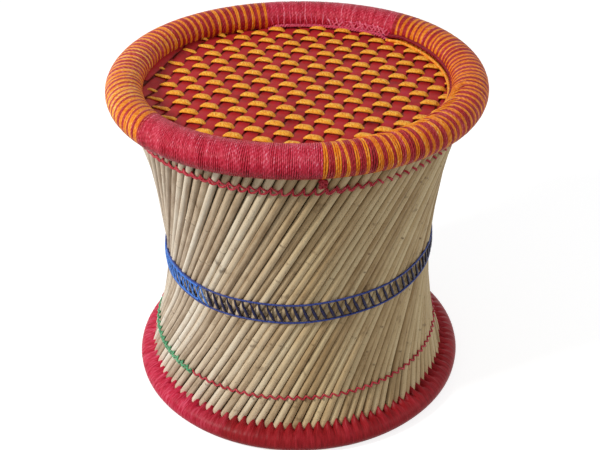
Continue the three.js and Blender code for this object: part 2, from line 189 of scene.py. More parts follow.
def run_coordinates(tree):
    """The way round a cord, from 0 to 1, the way along it in metres, and its tone."""
    place = add_node(tree, "ShaderNodeUVMap", uv_map="run").outputs[0]
    parts = add_node(tree, "ShaderNodeSeparateXYZ", place)
    tone = add_node(tree, "ShaderNodeAttribute", attribute_name="tone").outputs["Fac"]
    return parts.outputs[0], parts.outputs[1], tone


def cord_finish(name, stops, lay=210.0, roughness=0.4, low=0.0):
    """Twisted silky cord, whose stops run from the shaded strands to the palest flecks, which are partly
    painted glints.

    The lay is the number of strands that pass in a metre, and low paints shade on the rim's lower half."""
    finish, tree, shader = new_finish(name, roughness, 0.18)
    around, along, tone = run_coordinates(tree)
    spiral = calculate(tree, "MULTIPLY_ADD", around, 2.0, calculate(tree, "MULTIPLY", along, lay))
    strand = calculate(tree, "SINE", calculate(tree, "MULTIPLY", spiral, FULL_TURN))
    # Random flecks of the fibres' colour, whose palest stops are painted glints of the silk
    fleck_and_glint = add_noise(tree, stretched(tree, (around, 6.0), (along, 270.0), (tone, 40.0)), 1.0, 3.0, 0.65)
    mixed = calculate(tree, "MULTIPLY_ADD", fleck_and_glint, 0.95, calculate(tree, "MULTIPLY", tone, 0.18))
    mixed = calculate(tree, "MULTIPLY_ADD", strand, 0.05, mixed)
    # Painted shade: darker towards the bottom of the rim
    if low:
        height = add_node(tree, "ShaderNodeSeparateXYZ", object_place(tree)).outputs[2]
        painted_low_shade = add_node(tree, "ShaderNodeMapRange", height, 0.39, 0.37, 0.0, low).outputs[0]
        mixed = calculate(tree, "SUBTRACT", mixed, painted_low_shade)
    tree.links.new(add_ramp(tree, mixed, stops), shader.inputs["Base Color"])
    add_bump(tree, shader, calculate(tree, "MULTIPLY_ADD", strand, 0.3, fleck_and_glint), 0.0002)
    return finish


def wrap_finish(name, right_stops, left_stops):
    """The base ring's wrap: fine threads round the ring's section, pinker and more creased at the left."""
    finish, tree, shader = new_finish(name, 0.42, 0.15)
    around, along, tone = run_coordinates(tree)
    thread = add_noise(tree, stretched(tree, (around, 1150.0), (along, 90.0)), 1.0, 3.0, 0.6)
    fold = add_noise(tree, stretched(tree, (around, 260.0), (along, 30.0)), 1.0, 2.0, 0.5)
    mixed = calculate(tree, "MULTIPLY_ADD", thread, 0.6, calculate(tree, "MULTIPLY", fold, 0.4))
    at_left = add_node(tree, "ShaderNodeClamp", tone).outputs[0]
    colour = add_mix(tree, at_left, add_ramp(tree, mixed, right_stops), add_ramp(tree, mixed, left_stops))
    tree.links.new(colour, shader.inputs["Base Color"])
    height = calculate(tree, "MULTIPLY", mixed, calculate(tree, "MULTIPLY_ADD", tone, 0.9, 0.2))
    add_bump(tree, shader, height, 0.001)
    return finish


def reed_finish(name, stops, right_stops):
    """Peeled reed: streaks, specks and brown joints, painted shade on the sides that face the neighbouring
    reeds, and other stops towards the right.
    """
    finish, tree, shader = new_finish(name, 0.5, 0.2)
    around, along, tone = run_coordinates(tree)
    joint = add_node(tree, "ShaderNodeAttribute", attribute_name="joint").outputs["Fac"]
    place = object_place(tree)
    across = add_node(tree, "ShaderNodeSeparateXYZ", place).outputs[0]
    grain = add_noise(tree, stretched(tree, (around, 9.0), (along, 22.0), (tone, 60.0)), 1.0, 4.0, 0.6)
    blotch = add_noise(tree, place, 48.0, 3.0, 0.6)
    speck = add_noise(tree, place, 520.0, 2.0, 0.6)
    mixed = calculate(tree, "MULTIPLY_ADD", grain, 0.6, calculate(tree, "MULTIPLY", tone, 0.32))
    mixed = calculate(tree, "MULTIPLY_ADD", blotch, 0.24, mixed)
    mixed = calculate(tree, "SUBTRACT", mixed, 0.08)
    to_right = calculate(tree, "MULTIPLY_ADD", across, 6.5, 0.92)
    to_right = add_node(tree, "ShaderNodeClamp", to_right).outputs[0]
    clean = add_mix(tree, to_right, add_ramp(tree, mixed, stops), add_ramp(tree, mixed, right_stops))
    speckled = add_node(tree, "ShaderNodeMapRange", speck, 0.38, 0.28, 0.0, 0.5).outputs[0]
    stained = add_node(tree, "ShaderNodeMapRange", blotch, 0.36, 0.26, 0.0, 0.6).outputs[0]
    ringed = calculate(tree, "MULTIPLY", joint, calculate(tree, "MULTIPLY_ADD", grain, 4.0, -1.7))
    # Painted shade on the sides that face the neighbouring reeds, weaker towards the right, joined with the
    # real specks, stains and joints
    edge = add_node(tree, "ShaderNodeAttribute", attribute_name="edge").outputs["Fac"]
    dirt_and_gap_shade = calculate(tree, "MAXIMUM", calculate(tree, "MAXIMUM", speckled, stained), ringed)
    gap_shade_strength = calculate(tree, "MULTIPLY_ADD", to_right, -0.3, 0.8)
    dirt_and_gap_shade = calculate(tree, "MAXIMUM", dirt_and_gap_shade, calculate(tree, "MULTIPLY", edge, gap_shade_strength))
    dirt_and_gap_shade = add_node(tree, "ShaderNodeClamp", dirt_and_gap_shade, 0.0, 0.85).outputs[0]
    colour = add_mix(tree, dirt_and_gap_shade, clean, shade(*DIRT_AND_SHADE))
    tree.links.new(colour, shader.inputs["Base Color"])
    add_bump(tree, shader, calculate(tree, "ADD", grain, speck), 0.0002)
    return finish


def tape_finish(name, stops):
    """Flat woven strip: smooth, with painted shade at its sides, faint lengthwise threads and soft patches.
    """
    finish, tree, shader = new_finish(name, 0.5, 0.12)
    around, along, tone = run_coordinates(tree)
    patch = add_noise(tree, object_place(tree), 55.0, 3.0, 0.6)
    thread = add_noise(tree, stretched(tree, (around, 42.0), (along, 70.0)), 1.0, 2.0, 0.5)
    mixed = calculate(tree, "MULTIPLY_ADD", patch, 0.75, calculate(tree, "MULTIPLY", tone, 0.3))
    mixed = calculate(tree, "MULTIPLY_ADD", thread, 0.18, mixed)
    # Painted shade along the strip's two sides, in the gaps between the strips
    turned = calculate(tree, "COSINE", calculate(tree, "MULTIPLY", around, FULL_TURN))
    side = calculate(tree, "POWER", calculate(tree, "ABSOLUTE", turned), 6.0)
    mixed = calculate(tree, "MULTIPLY_ADD", side, -0.5, mixed)
    tree.links.new(add_ramp(tree, mixed, stops), shader.inputs["Base Color"])
    add_bump(tree, shader, thread, 0.00015)
    return finish


def float_finish(name, stops):
    """Orange weft: a soft bundle of short strands that lie across it at a slant."""
    finish, tree, shader = new_finish(name, 0.42, 0.2)
    around, along, tone = run_coordinates(tree)
    slant = calculate(tree, "MULTIPLY_ADD", around, 9.0, calculate(tree, "MULTIPLY", along, 620.0))
    strand = add_noise(tree, stretched(tree, (slant, 1.0), (around, 7.0), (tone, 30.0)), 1.0, 3.0, 0.6)
    patch = add_noise(tree, object_place(tree), 90.0, 2.0, 0.5)
    mixed = calculate(tree, "MULTIPLY_ADD", patch, 0.15, strand)
    tree.links.new(add_ramp(tree, mixed, stops), shader.inputs["Base Color"])
    add_bump(tree, shader, strand, 0.0009)
    return finish


# Stops of the finishes: the place on the ramp, and the colour in screen values
# The brown of the reeds' specks, stains and joints, also used for their painted shade
DIRT_AND_SHADE = (84, 58, 34)
REED_STOPS = ((0.2, 148, 124, 98), (0.5, 220, 202, 178), (0.8, 248, 242, 228))
REED_RIGHT_STOPS = ((0.2, 150, 120, 80), (0.5, 199, 173, 130), (0.8, 226, 206, 164))
# The inner reeds and the hidden straw cores: the reed colours darkened, painted shade for their place inside
# the wall
INNER_SHADED_STOPS = ((0.2, 92, 66, 40), (0.5, 138, 108, 72), (0.8, 178, 150, 112))
reed = reed_finish("peeled_reed", REED_STOPS, REED_RIGHT_STOPS)
inner_reed = reed_finish("shaded_inner_reed", INNER_SHADED_STOPS, INNER_SHADED_STOPS)
straw = reed_finish("split_straw", INNER_SHADED_STOPS, INNER_SHADED_STOPS)
crimson = cord_finish(
    "crimson_cord",
    ((0.28, 136, 8, 26), (0.48, 190, 30, 54), (0.66, 218, 68, 92), (0.86, 250, 168, 186)),
    roughness=0.36,
    # low: painted shade on the rim's lower half
    low=0.18,
)
magenta = cord_finish(
    "magenta_cord",
    ((0.32, 126, 12, 20), (0.54, 172, 32, 40), (0.7, 196, 56, 60), (0.86, 226, 124, 126)),
)
dark_crimson = cord_finish(
    "dark_crimson_cord",
    ((0.32, 96, 8, 20), (0.56, 142, 22, 36), (0.8, 178, 50, 72)),
)
pale_pink = cord_finish(
    "pale_pink_cord",
    ((0.32, 186, 34, 66), (0.56, 228, 92, 122), (0.8, 250, 176, 192)),
    lay=330.0,
)
orange = cord_finish(
    "orange_cord",
    ((0.32, 196, 84, 10), (0.52, 234, 128, 20), (0.68, 246, 160, 46), (0.86, 255, 222, 132)),
)
base_crimson = wrap_finish(
    "base_wrap",
    ((0.34, 114, 12, 17), (0.52, 148, 24, 31), (0.7, 178, 46, 54)),
    ((0.32, 154, 12, 40), (0.5, 202, 36, 68), (0.68, 240, 106, 138)),
)
stitch_red = cord_finish(
    "stitch_cord",
    ((0.32, 132, 16, 30), (0.54, 182, 40, 54), (0.82, 224, 112, 126)),
    lay=330.0,
)
band_blue = cord_finish(
    "blue_cord",
    ((0.32, 26, 28, 66), (0.54, 50, 60, 124), (0.8, 84, 108, 190)),
    lay=330.0,
)
bright_blue = cord_finish(
    "bright_blue_cord",
    ((0.32, 30, 78, 176), (0.54, 56, 120, 220), (0.8, 130, 180, 245)),
    lay=330.0,
)
band_dark = cord_finish(
    "dark_blue_cord",
    ((0.32, 14, 12, 26), (0.6, 34, 32, 66), (0.86, 62, 68, 128)),
    lay=330.0,
)
stitch_green = cord_finish(
    "green_cord",
    ((0.32, 46, 116, 76), (0.56, 92, 172, 124), (0.86, 168, 224, 188)),
    lay=330.0,
)
seat_red = tape_finish(
    "red_strip",
    ((0.14, 92, 22, 14), (0.4, 130, 26, 26), (0.56, 164, 34, 38), (0.7, 182, 40, 42), (0.84, 176, 36, 62)),
)
seat_orange = float_finish(
    "orange_strip",
    ((0.36, 194, 98, 14), (0.5, 238, 150, 32), (0.64, 252, 184, 58), (0.8, 255, 220, 116)),
)


# Shapes


def ring_point(radius, angle, height):
    return Vector((radius * math.cos(angle), radius * math.sin(angle), height))


def outwards(angle):
    return Vector((math.cos(angle), math.sin(angle), 0))


def smooth_step(value):
    value = min(max(value, 0), 1)
    return value * value * (3 - 2 * value)


def deselect_all():
    bpy.ops.object.select_all(action="DESELECT")


def set_piece(piece, finish, slot, *nodes):
    """Gives a finished piece its finish and its body, and hides the CAD nodes it stands for."""
    piece.data.materials.clear()
    piece.data.materials.append(finish)
    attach(piece, "root")
    if nodes:
        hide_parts(*nodes)


def mesh_piece(name, vertices, faces, uvs, tones):
    """A smooth piece with its way round and along as a UV map, and its tones."""
    mesh = bpy.data.meshes.new(name)
    mesh.from_pydata(vertices, [], faces)
    mesh.uv_layers.new(name="run").data.foreach_set("uv", uvs)
    mesh.attributes.new("tone", "FLOAT", "POINT").data.foreach_set("value", tones)
    mesh.polygons.foreach_set("use_smooth", [True] * len(faces))
    piece = bpy.data.objects.new(name, mesh)
    bpy.context.scene.collection.objects.link(piece)
    return piece


def sweep(name, runs, sides, closed=False):
    """Cords or strips as tubes. A run's stations are (place, outward, width, thickness, tone)."""
    vertices = []
    faces = []
    uvs = []
    tones = []
    for run in runs:
        first = len(vertices)
        count = len(run)
        places = [station[0] for station in run]
        gone = [0.0]
        for index in range(1, count + 1):
            gone.append(gone[-1] + (places[index % count] - places[index - 1]).length)
        for index, (place, outward, width, thickness, tone) in enumerate(run):
            ahead = places[(index + 1) % count] if closed else places[min(index + 1, count - 1)]
            behind = places[index - 1] if closed else places[max(index - 1, 0)]
            along = (ahead - behind).normalized()
            across = along.cross(outward).normalized()
            above = across.cross(along)
            for side in range(sides):
                turn = FULL_TURN * side / sides
                offset = across * (width / 2 * math.cos(turn)) + above * (thickness / 2 * math.sin(turn))
                vertices.append(place + offset)
                tones.append(tone)
        for index in range(count if closed else count - 1):
            here = first + index * sides
            there = first + (index + 1) % count * sides
            for side in range(sides):
                after = (side + 1) % sides
                faces.append((here + side, there + side, there + after, here + after))
                low, high = side / sides, (side + 1) / sides
                start, end = gone[index], gone[index + 1]
                uvs += [low, start, low, end, high, end, high, start]
        if not closed:
            last = first + (count - 1) * sides
            faces.append(tuple(first + side for side in range(sides)))
            faces.append(tuple(last + side for side in reversed(range(sides))))
            uvs += [0.5, gone[0]] * sides + [0.5, gone[count - 1]] * sides
    return mesh_piece(name, vertices, faces, uvs, tones)


# Reed wall


def flare(angle, height):
    """How far the reeds' feet bend outwards, onto the base ring, which starts higher at the left."""
    at_left = max(-math.cos(angle), 0)
    start = 0.07 + 0.09 * at_left
    return (0.005 + 0.005 * at_left) * smooth_step((start - height) / (start - 0.012))


def model_reed(name, radius, sides, low, high, joints):
    """One upright reed: a cylinder with raised joints, cut near its foot too, where it bends."""
    deselect_all()
    bpy.ops.mesh.primitive_cylinder_add(
        vertices=sides, radius=radius, depth=high - low, location=(0, 0, (high + low) / 2)
    )
    stick = bpy.context.object
    stick.name = name
    bpy.ops.object.mode_set(mode="EDIT")
    cuts = [low + 0.023 * step for step in range(1, 7)]
    for joint in joints:
        cuts += [joint - REED_BULGE, joint, joint + REED_BULGE]
    for cut in cuts:
        bpy.ops.mesh.select_all(action="SELECT")
        bpy.ops.mesh.bisect(plane_co=(0, 0, cut), plane_no=(0, 0, 1))
    bpy.ops.object.mode_set(mode="OBJECT")
    bpy.ops.object.transform_apply(location=True)
    mesh = stick.data
    marks = mesh.attributes.new("joint", "FLOAT", "POINT")
    for vertex in mesh.vertices:
        height = vertex.co.z
        nearest = min(abs(height - joint) for joint in joints)
        if nearest < REED_BULGE / 2:
            marks.data[vertex.index].value = 1
            vertex.co.x *= 1.07
            vertex.co.y *= 1.07
    bpy.ops.object.shade_smooth_by_angle(angle=math.radians(60))
    layer = mesh.uv_layers[0]
    layer.name = "run"
    for face in mesh.polygons:
        turns = [math.atan2(mesh.vertices[v].co.y, mesh.vertices[v].co.x) / FULL_TURN for v in face.vertices]
        if max(turns) - min(turns) > 0.5:
            turns = [turn + 1 if turn < 0 else turn for turn in turns]
        for loop, vertex, turn in zip(face.loop_indices, face.vertices, turns):
            layer.data[loop].uv = (turn, mesh.vertices[vertex].co.z)
    return stick


def lean_reed(pattern, middle, slope, sense, angle, girth, depth, aside, tone):
    """A copy of a reed, with its own mesh, leaned and turned into its place in the wall."""
    copy = bpy.data.objects.new(pattern.name, pattern.data.copy())
    bpy.context.scene.collection.objects.link(copy)
    lean = Matrix.Rotation(-sense * math.atan(slope), 4, "X")
    place = Matrix.Rotation(angle, 4, "Z") @ Matrix.Translation((middle + depth, aside, REED_WAIST)) @ lean
    spin = Matrix.Rotation(random.uniform(0, FULL_TURN), 4, "Z")
    copy.data.transform(Matrix.Diagonal((girth, girth, 1, 1)) @ spin)
    # How far each point faces a neighbouring reed; the finish paints shade there
    gap_shade = []
    for vertex in copy.data.vertices:
        core = place @ Vector((0, 0, vertex.co.z))
        turn = math.atan2(core.y, core.x)
        spot = place @ vertex.co
        facing = abs((spot - core).normalized().dot(outwards(turn)))
        gap_shade.append(smooth_step((0.62 - facing) / 0.6))
        vertex.co = spot + outwards(turn) * flare(turn, spot.z)
    copy.data.attributes.new("edge", "FLOAT", "POINT").data.foreach_set("value", gap_shade)
    shades = copy.data.attributes.new("tone", "FLOAT", "POINT")
    shades.data.foreach_set("value", [tone] * len(copy.data.vertices))
    return copy


def add_reed_layer(prefix, bundles, each, middle, slope, sense, girth, finish, slot, sides):
    """The wall's reeds on one side, joined in the same bundles as the CAD nodes."""
    stretch = math.sqrt(1 + slope * slope)
    low = (REED_LOW - REED_WAIST) * stretch
    high = (REED_HIGH - REED_WAIST) * stretch
    joint_places = ((0.26, 0.72), (0.12, 0.58), (0.4, 0.86), (0.2, 0.93), (0.33, 0.65))
    patterns = []
    for joints in joint_places:
        heights = [low + (high - low) * share for share in joints]
        patterns.append(model_reed(prefix, REED_RADIUS, sides, low, high, heights))
    for bundle in range(bundles):
        deselect_all()
        sticks = []
        for k in range(bundle * each, (bundle + 1) * each):
            angle = FULL_TURN * k / REED_COUNT
            sticks.append(
                lean_reed(
                    random.choice(patterns),
                    middle,
                    slope,
                    sense,
                    angle,
                    girth * random.uniform(0.95, 1.05),
                    random.uniform(-0.0014, 0.0006),
                    random.uniform(-0.0005, 0.0005),
                    random.random(),
                )
            )
        for stick in sticks:
            stick.select_set(True)
        bpy.context.view_layer.objects.active = sticks[0]
        bpy.ops.object.join()
        piece = bpy.context.object
        piece.name = f"{prefix}_look_{bundle + 1:02d}"
        set_piece(piece, finish, slot, f"{prefix}_{bundle + 1:02d}")
    for pattern in patterns:
        bpy.data.objects.remove(pattern)


add_reed_layer("outer_reeds", 21, 5, OUTER_MIDDLE, OUTER_SLOPE, 1, 0.99, reed, "reed", 10)
add_reed_layer("inner_reeds", 15, 7, INNER_MIDDLE, INNER_SLOPE, -1, 1.13, inner_reed, "inner_reed", 8)


def wall_radius(angle, height):
    """Outer surface of the outer reeds."""
    return math.hypot(OUTER_MIDDLE, OUTER_SLOPE * (height - REED_WAIST)) + REED_RADIUS + flare(angle, height)


def reed_angle(k, height):
    """Where outer reed k is at a height. A fraction gives the gaps."""
    return FULL_TURN * k / REED_COUNT + math.atan2(OUTER_SLOPE * (height - REED_WAIST), OUTER_MIDDLE)


# Rim


def rim_radius(angle):
    """The rim is a little squared: widest between its front, back and sides."""
    return RIM_RADIUS - 0.0012 * math.cos(4 * angle)


def rim_lean(angle):
    """Half the angle by which a turn of cord leans from the rim's outer side to its inner side."""
    front_left = max(math.cos(angle - math.radians(215)), 0) ** 4
    back_right = max(math.cos(angle - math.radians(40)), 0) ** 4
    return math.radians(2.4 * front_left + 1.3 * back_right)


def rim_station(angle, turn, lift, width, thickness, tone):
    """A point of a cord that goes round the rim. The turn runs from the outer side over the top."""
    sideways = math.cos(turn)
    upwards = math.sin(turn)
    wander = 0.0007 * math.sin(angle * 31 + turn) + 0.0004 * math.sin(angle * 83 + 2 * turn)
    angle += wander / RIM_RADIUS + rim_lean(angle) * sideways
    radius = rim_radius(angle) + (RIM_HALF_WIDTH + lift) * sideways
    place = ring_point(radius, angle, RIM_HEIGHT + (RIM_HALF_HEIGHT + lift) * upwards)
    outward = outwards(angle) * (sideways / RIM_HALF_WIDTH) + Vector((0, 0, upwards / RIM_HALF_HEIGHT))
    return place, outward.normalized(), width, thickness, tone


def rim_turns(start, turns, pitch, diameter, pale):
    """Stations of neighbouring turns, each with its own small lift and tone, a share of them pale, and
    painted light that makes the turns at the left paler.
    """
    run = []
    lifts = [random.uniform(0, 0.0003) for _ in range(turns + 1)]
    shades = [random.random() * 0.8 for _ in range(turns + 1)]
    # Painted light: the turns at the left, which face the key lamp, take paler tones
    painted_light_at_left = 0.6 * smooth_step((-math.cos(start) - 0.72) / 0.24)
    shades = [1.3 if random.random() < pale else value + painted_light_at_left for value in shades]
    for step in range(turns * RIM_TURN_STEPS):
        turn = step // RIM_TURN_STEPS
        share = step / RIM_TURN_STEPS
        angle = start + share * pitch / RIM_RADIUS
        blend = smooth_step(share - turn)
        lift = lifts[turn] * (1 - blend) + lifts[turn + 1] * blend
        run.append(rim_station(angle, (share - 0.25) * FULL_TURN, lift, diameter, diameter, shades[turn]))
    return run


def add_plain_rim(node, start, end, pale):
    turns = round((end - start) * RIM_RADIUS / FINE_CORD_PITCH)
    pitch = (end - start) * RIM_RADIUS / turns
    piece = sweep(f"{node}_look", [rim_turns(start, turns, pitch, FINE_CORD_DIAMETER, pale)], 6)
    set_piece(piece, crimson, "crimson_cord", node)


def add_striped_rim(side, start, end, orange_share):
    """Two cords that take turns round the rim, each passing under the other on the underside.

    At the left the orange gains on the magenta towards the front."""
    at_left = side == "left"
    pairs = round((end - start) * RIM_RADIUS / STRIPE_PITCH)
    groups = {"orange": [], "magenta": []}
    counts = []
    for pair in range(pairs):
        gain = smooth_step(pair / pairs * 3 - 1.6) * at_left
        wide = random.random() < orange_share + (1 - orange_share) * gain
        counts.append((3, 2) if wide else (2, 3))
    pitch = (end - start) * RIM_RADIUS / sum(a + b for a, b in counts)
    angle = start
    for first, second in counts:
        groups["orange"].append((angle, first))
        angle += first * pitch / RIM_RADIUS
        groups["magenta"].append((angle, second))
        angle += second * pitch / RIM_RADIUS
    for colour, finish in (("orange", orange), ("magenta", magenta)):
        run = []
        for start_angle, turns in groups[colour]:
            if run:
                for share in (0.25, 0.5, 0.75):
                    between = left_off + (start_angle - left_off) * share
                    run.append(rim_station(between, -FULL_TURN / 4, -0.0022, 0.0015, 0.0015, 0.3))
            run += rim_turns(start_angle, turns, pitch, CORD_DIAMETER, 0.03 if colour == "magenta" else 0.0)
            left_off = start_angle + turns * pitch / RIM_RADIUS
        piece = sweep(f"rim_cord_{side}_{colour}_look", [run], 6)
        set_piece(piece, finish, f"{colour}_cord", f"rim_cord_{side}_{colour}")


add_plain_rim("rim_wrap_front", FRONT_FROM, FRONT_TO, 0.02)
add_plain_rim("rim_wrap_back", BACK_FROM, BACK_TO, 0.03)
add_striped_rim("right", FRONT_TO, BACK_FROM, 0.35)
add_striped_rim("left", BACK_TO - FULL_TURN, FRONT_FROM, 0.15)


# Seat


def strip_reach(offset):
    return math.sqrt(SEAT_REACH * SEAT_REACH - offset * offset)


def left_share(place):
    """How much a place on the seat belongs to its left edge, where the red strips cover the weft."""
    turned = math.atan2(place.y, place.x) % FULL_TURN - math.pi
    return smooth_step((62 - math.degrees(abs(turned))) / 30)


def covered(place):
    """How far the weft has gone under the red at a place."""
    return left_share(place) * smooth_step((place.length - 0.135) / 0.043)


def skirt_rise(place):
    """How far the seat's left edge rises to the rim."""
    return 0.006 * left_share(place) * smooth_step((place.length - 0.152) / 0.034)


def seat_normal(place):
    """The way up from the seat's surface, tilted where the left edge rises."""
    small = 0.001
    rise = skirt_rise(place)
    across = (skirt_rise(place + Vector((small, 0, 0))) - rise) / small
    along = (skirt_rise(place + Vector((0, small, 0))) - rise) / small
    return Vector((-across, -along, 1)).normalized()


def add_warp():
    """Flat red strips side by side, over the orange weft at every other crossing and shaded beside it."""
    runs = []
    for i in range(-11, 12):
        across = WARP_START + WARP_PITCH * i
        if abs(across) > SEAT_REACH - 0.004:
            continue
        reach = strip_reach(across)
        steps = max(int(2 * reach / 0.0014), 2)
        tone = 0.35 + 0.5 * random.random()
        run = []
        for step in range(steps + 1):
            along = -reach + 2 * reach * step / steps
            phase = (along - WEFT_START) / WEFT_PITCH
            wave = math.cos(math.pi * phase) * (1 if i % 2 == 0 else -1)
            place = SEAT_ACROSS * across + SEAT_ALONG * along
            hidden = covered(place)
            shaded = tone - 0.2 * smooth_step((-0.6 - wave) / 0.35) * (1 - hidden)
            height = SEAT_HEIGHT + 0.0006 * wave * (1 - 0.5 * hidden) + 0.0002 * hidden + skirt_rise(place)
            spot = place + Vector((0, 0, height))
            run.append((spot, seat_normal(place), WARP_WIDTH, 0.0012, shaded))
        runs.append(run)
    piece = sweep("seat_warp_look", runs, 8)
    set_piece(piece, seat_red, "red_strip", "seat_warp")


def add_weft():
    """Orange bundles that arch over every other red strip and dive under the strips between."""
    runs = []
    for j in range(-9, 10):
        along = WEFT_START + WEFT_PITCH * j
        if abs(along) > SEAT_REACH - 0.006:
            continue
        reach = strip_reach(along)
        steps = max(int(2 * reach / 0.0011), 2)
        tone = (j * 37 % 10) / 10
        run = []
        for step in range(steps + 1):
            across = -reach + 2 * reach * step / steps
            phase = (across - WARP_START) / WARP_PITCH
            over = math.cos(math.pi * phase) * (-1 if j % 2 == 0 else 1)
            place = SEAT_ACROSS * across + SEAT_ALONG * along
            hidden = covered(place)
            dome = smooth_step((over + 0.62) / 1.42) ** 0.5 * (1 - 0.8 * hidden)
            width = 0.0028 + 0.0072 * dome
            thickness = 0.001 + 0.0028 * dome
            sunk = 0.003 * smooth_step((hidden - 0.8) / 0.2)
            height = SEAT_HEIGHT - 0.0004 + 0.0016 * dome ** 1.6 + thickness / 2 + skirt_rise(place) - sunk
            spot = place + Vector((0, 0, height))
            run.append((spot, seat_normal(place), width, thickness, tone))
        runs.append(run)
    piece = sweep("seat_weft_look", runs, 10)
    set_piece(piece, seat_orange, "orange_strip", "seat_weft")


def skin(name, columns, tones, closed):
    """A closed skin through columns of points that go round the stool, each a closed section."""
    rows = len(columns[0])
    count = len(columns)
    vertices = [point for column in columns for point in column]
    gone = [0.0]
    for index in range(1, rows + 1):
        gone.append(gone[-1] + (columns[0][index % rows] - columns[0][index - 1]).length)
    faces = []
    uvs = []
    for column in range(count if closed else count - 1):
        here, there = column * rows, (column + 1) % count * rows
        left, right = column / count, (column + 1) / count
        for row in range(rows):
            above = (row + 1) % rows
            faces.append((here + row, there + row, there + above, here + above))
            uvs += [left, gone[row], right, gone[row], right, gone[row + 1], left, gone[row + 1]]
    if not closed:
        faces.append(tuple(reversed(range(rows))))
        faces.append(tuple((count - 1) * rows + row for row in range(rows)))
        uvs += [0, 0] * rows * 2
    return mesh_piece(name, vertices, faces, uvs, tones)


def add_left_skirt():
    """The red cloth under the strips at the left, from the seat up to the rim."""
    reaches = [0.144 + 0.0345 * step / 10 for step in range(11)]
    columns = []
    for step in range(81):
        angle = math.radians(100 + 152 * step / 80)
        above = []
        below = []
        for reach in reaches:
            place = ring_point(reach, angle, 0)
            top = SEAT_HEIGHT - 0.0002 + skirt_rise(place)
            above.append(place + Vector((0, 0, top)))
            below.append(place + Vector((0, 0, top - 0.0012)))
        columns.append(above + below[::-1])
    tones = [0.3] * len(columns) * len(columns[0])
    piece = skin("seat_left_skirt_look", columns, tones, False)
    set_piece(piece, seat_red, "red_strip")


def rim_inner_radius(angle, height, lift):
    """Radius of the inner side of the rim at a height, with a lift off it."""
    rise = min(abs(height - RIM_HEIGHT) / (RIM_HALF_HEIGHT + lift), 1)
    return rim_radius(angle) - (RIM_HALF_WIDTH + lift) * math.sqrt(1 - rise * rise)


def seat_edge_ring(radius, height, start, end, diameter, tone, twist=0.0, phase=0.0):
    """A cord along the seat's edge. With a twist it winds about its line, as one of a pair."""
    run = []
    length = (end - start) * radius
    steps = max(int(length / 0.0013), 4)
    for step in range(steps + 1):
        share = step / steps
        angle = start + (end - start) * share
        turn = FULL_TURN * length * share / PLAIT_PITCH + phase
        sunk = 0.003 * (1 - smooth_step(share * 12) * smooth_step((1 - share) * 12))
        place = ring_point(radius + twist * math.cos(turn), angle, height - sunk + twist * math.sin(turn))
        run.append((place, Vector((0, 0, 1)), diameter, diameter, tone))
    return run


def back_loops(start, end, count, low, high, lean, diameter):
    """Pale cords that run up the inner side of the rim at the back, each with its own lean."""
    runs = []
    for k in range(count):
        angle = start + (end - start) * (k + 0.5 + random.uniform(-0.25, 0.25)) / count
        tilt = lean + random.uniform(-0.01, 0.01)
        top = high + random.uniform(-0.002, 0.002)
        tone = random.uniform(0, 0.9)
        run = []
        for step in range(8):
            share = step / 7
            height = low + (top - low) * share
            side = angle + tilt * share + 0.002 * math.sin(share * 5 + k)
            outward = -outwards(side) + Vector((0, 0, 0.4 * share))
            place = ring_point(rim_inner_radius(side, height, 0.0012), side, height)
            run.append((place, outward, diameter, diameter * 0.8, tone))
        runs.append(run)
    return runs


def rim_strands(start, end, count):
    """Loose strands at the front right, that fan from the seat's edge up over the rim."""
    runs = []
    for k in range(count):
        angle = start + (end - start) * (k + random.uniform(-0.3, 0.3)) / count
        reach = random.uniform(0.17, 0.25)
        crest = random.uniform(85, 118)
        tone = random.random()
        run = []
        for step in range(13):
            share = step / 12
            turn = math.radians(208 + (crest - 208) * share)
            lift = 0.0016 - 0.0022 * smooth_step((share - 0.85) / 0.15)
            run.append(rim_station(angle + reach * share, turn, lift, 0.0018, 0.0014, tone))
        runs.append(run)
    return runs


def add_seat_edge():
    """Between seat and rim: a plait at the right, loops at the back and strands at the front right."""
    right_from, right_to = math.radians(-50), BACK_FROM - FULL_TURN
    back_to = BACK_TO - FULL_TURN
    plait = [
        seat_edge_ring(0.1738, 0.3822, right_from, right_to, 0.0028, 0.2, 0.0012),
        seat_edge_ring(0.1738, 0.3822, right_from, right_to, 0.0028, 0.6, 0.0012, math.pi),
    ]
    piece = sweep("seat_edge_look", plait, 6)
    set_piece(piece, dark_crimson, "magenta_cord", "seat_edge_lacing")
    middle = right_to + (back_to - right_to) * 0.5
    loops = back_loops(middle, back_to - 0.02, 11, 0.3785, 0.3905, 0.004, 0.0013)
    loops += back_loops(right_to + 0.01, middle, 15, 0.376, 0.387, 0.035, 0.0022)
    loops += back_loops(right_to + 0.01, middle, 13, 0.376, 0.385, -0.04, 0.002)
    loops.append(seat_edge_ring(0.1735, 0.3768, right_to, back_to, 0.0022, 0.3, 0.0014))
    loops.append(seat_edge_ring(0.1735, 0.3768, right_to, back_to, 0.0022, 0.0, 0.0014, math.pi))
    loops.append(seat_edge_ring(0.1752, 0.3855, right_to + 0.02, middle, 0.0013, 0.3))
    piece = sweep("seat_back_loops_look", loops, 6)
    set_piece(piece, pale_pink, "magenta_cord")
    strands = rim_strands(math.radians(282), math.radians(336), 44)
    strands.append(seat_edge_ring(0.1712, 0.3772, right_from, right_to, 0.0042, 0.9))
    piece = sweep("seat_edge_orange_look", strands, 6)
    set_piece(piece, orange, "orange_cord")
    strands = rim_strands(math.radians(286), math.radians(334), 12)
    piece = sweep("seat_edge_pink_look", strands, 6)
    set_piece(piece, magenta, "magenta_cord")


add_warp()
add_weft()
add_left_skirt()
add_seat_edge()


# Base ring


